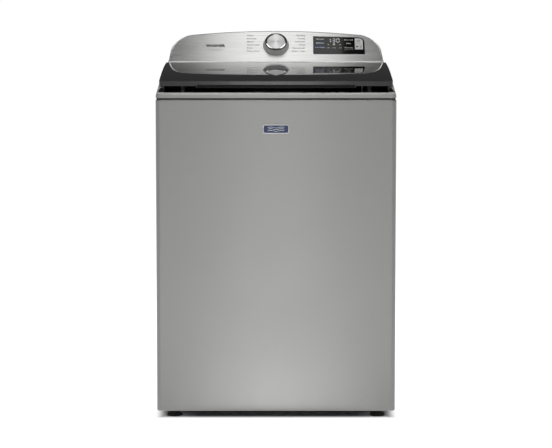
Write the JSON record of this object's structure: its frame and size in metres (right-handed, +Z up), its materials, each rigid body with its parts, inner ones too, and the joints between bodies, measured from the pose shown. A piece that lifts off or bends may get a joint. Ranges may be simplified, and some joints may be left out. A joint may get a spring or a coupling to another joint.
{
  "type": "top load washing machine",
  "caption": "Free-standing top load washer: tall rectangular cabinet, arched glass lid over a spinning basket, leaning console with dial and display, levelling feet.",
  "frame": {"origin": "on the floor, at the centre of the bounding box's base", "axes": "+Z up, -Y towards the user (front panel and dial face -Y), +X to the right as seen from the front"},
  "size_m": [0.698, 0.72, 1.115],
  "materials": {
    "cabinet_paint": "satin metallic",
    "cover_paint": "satin metallic",
    "galvanised": "zinc plated",
    "zinc_steel": "zinc plated",
    "spring_steel": "oiled",
    "stainless": "polished, perforated",
    "fascia_steel": "horizontal brushed",
    "dial_chrome": "bright",
    "dial_face": "radially brushed",
    "black_gloss": "gloss",
    "black_satin": "fine grain",
    "smoked_glass": "polished",
    "display_glass": "polished",
    "silver_plastic": "satin",
    "grey_plastic": "fine grain",
    "white_plastic": "fine grain",
    "tub_plastic": "fine grain",
    "board": "solder resist",
    "badge": "bright rim, dark blue field",
    "rubber_black": "matte",
    "hose_grey": "corrugated",
    "hose_clear": "satin",
    "gearcase_aluminium": "cast",
    "motor_paint": "satin",
    "pulley_aluminium": "machined",
    "shaft_steel": "ground"
  },
  "bodies": {
    "cabinet": {"cabinet_shell": "cabinet_paint", "rear_panel": "galvanised", "panel_screws": "zinc_steel", "base_brackets": "galvanised", "corner_braces": "galvanised", "foot_lock_nuts": "zinc_steel", "suspension_rods": "zinc_steel", "rod_ball_caps": "white_plastic", "suspension_springs": "spring_steel", "top_cover": "cover_paint", "deck": "black_satin", "lid_lock_housing": "black_satin", "hinge_brackets": "zinc_steel", "console_fascia": "fascia_steel", "console_housing": "grey_plastic", "display_window": "display_glass", "control_board": "board", "knob_encoder": "black_satin", "front_badge": "badge", "inlet_valve": "white_plastic", "inlet_hose": "hose_clear", "drain_port": "grey_plastic", "cord_grommet": "black_satin", "drain_hose": "hose_grey"},
    "lid": {"lid_glass": "smoked_glass", "lid_frame": "black_gloss", "lid_hinge_pins": "shaft_steel", "lid_strike": "black_satin", "lid_bumpers": "rubber_black"},
    "cycle_dial": {"knob_shaft": "shaft_steel", "knob_ring": "dial_chrome", "knob_cap": "dial_face"},
    "power_key": {"power_button": "silver_plastic"},
    "start_key": {"start_button": "silver_plastic"},
    "drawer": {"dispenser_drawer": "black_gloss"},
    "lock_bolt": {"lid_lock_bolt": "white_plastic"},
    "tub": {"outer_tub": "tub_plastic", "tub_ring": "grey_plastic", "tub_seal": "rubber_black", "gearcase": "gearcase_aluminium", "spin_bearings": "shaft_steel", "motor_housing": "motor_paint", "drive_belt": "rubber_black", "drain_pump": "grey_plastic", "spring_cups": "white_plastic"},
    "basket": {"basket_shell": "stainless", "balance_ring": "grey_plastic", "basket_hub": "gearcase_aluminium", "spin_tube": "shaft_steel"},
    "impeller": {"wash_plate": "grey_plastic", "plate_cap": "silver_plastic", "agitator_shaft": "shaft_steel"},
    "pulley": {"drive_pulley": "pulley_aluminium"},
    "motor_spindle": {"motor_rotor": "shaft_steel", "motor_pulley": "pulley_aluminium"},
    "pump_impeller": {"pump_rotor": "white_plastic"},
    "leg_front_left": {"foot_front_left": "rubber_black"},
    "leg_front_right": {"foot_front_right": "rubber_black"},
    "leg_back_left": {"foot_back_left": "rubber_black"},
    "leg_back_right": {"foot_back_right": "rubber_black"}
  },
  "joints": [
    {"name": "lid_hinge", "type": "hinge", "parent": "cabinet", "child": "lid", "pos_m": [0, 0.128, 1.013], "axis": [-1, 0, 0], "range_deg": [0, 98]},
    {"name": "cycle_dial_turn", "type": "hinge", "parent": "cabinet", "child": "cycle_dial", "pos_m": [0, 0.18884, 1.07202], "axis": [0, -0.7431, 0.6691], "continuous": true},
    {"name": "power_press", "type": "slide", "parent": "cabinet", "child": "power_key", "axis": [0, 0.7431, -0.6691], "range_m": [0, 0.0015], "stiffness_N_per_m": 400, "springref_m": -0.001},
    {"name": "start_press", "type": "slide", "parent": "cabinet", "child": "start_key", "axis": [0, 0.7431, -0.6691], "range_m": [0, 0.0015], "stiffness_N_per_m": 400, "springref_m": -0.001},
    {"name": "drawer_slide", "type": "slide", "parent": "cabinet", "child": "drawer", "axis": [1, 0, 0], "range_m": [0, 0.085]},
    {"name": "lock_bolt_slide", "type": "slide", "parent": "cabinet", "child": "lock_bolt", "axis": [-1, 0, 0], "range_m": [0, 0.012]},
    {"name": "tub_bounce", "type": "slide", "parent": "cabinet", "child": "tub", "axis": [0, 0, 1], "range_m": [-0.03, 0], "stiffness_N_per_m": 12000, "springref_m": 0.03328, "deforming": ["suspension_springs", "drain_hose"]},
    {"name": "basket_spin", "type": "hinge", "parent": "tub", "child": "basket", "pos_m": [0, -0.012, 0.2], "axis": [0, 0, 1], "continuous": true},
    {"name": "impeller_turn", "type": "hinge", "parent": "basket", "child": "impeller", "pos_m": [0, -0.012, 0.3], "axis": [0, 0, 1], "continuous": true},
    {"name": "pulley_turn", "type": "hinge", "parent": "tub", "child": "pulley", "pos_m": [0, -0.012, 0.104], "axis": [0, 0, 1], "continuous": true},
    {"name": "motor_turn", "type": "hinge", "parent": "tub", "child": "motor_spindle", "pos_m": [0, 0.173, 0.104], "axis": [0, 0, 1], "continuous": true},
    {"name": "pump_turn", "type": "hinge", "parent": "tub", "child": "pump_impeller", "pos_m": [0.165, -0.135, 0.2], "axis": [0, 0, 1], "continuous": true},
    {"name": "leg_front_left_level", "type": "slide", "parent": "cabinet", "child": "leg_front_left", "axis": [0, 0, 1], "range_m": [-0.012, 0]},
    {"name": "leg_front_right_level", "type": "slide", "parent": "cabinet", "child": "leg_front_right", "axis": [0, 0, 1], "range_m": [-0.012, 0]},
    {"name": "leg_back_left_level", "type": "slide", "parent": "cabinet", "child": "leg_back_left", "axis": [0, 0, 1], "range_m": [-0.012, 0]},
    {"name": "leg_back_right_level", "type": "slide", "parent": "cabinet", "child": "leg_back_right", "axis": [0, 0, 1], "range_m": [-0.012, 0]}
  ],
  "couplings": [
    {"joint": "pulley_turn", "follows": "basket_spin", "ratio": 1},
    {"joint": "motor_turn", "follows": "basket_spin", "ratio": 4}
  ]
}
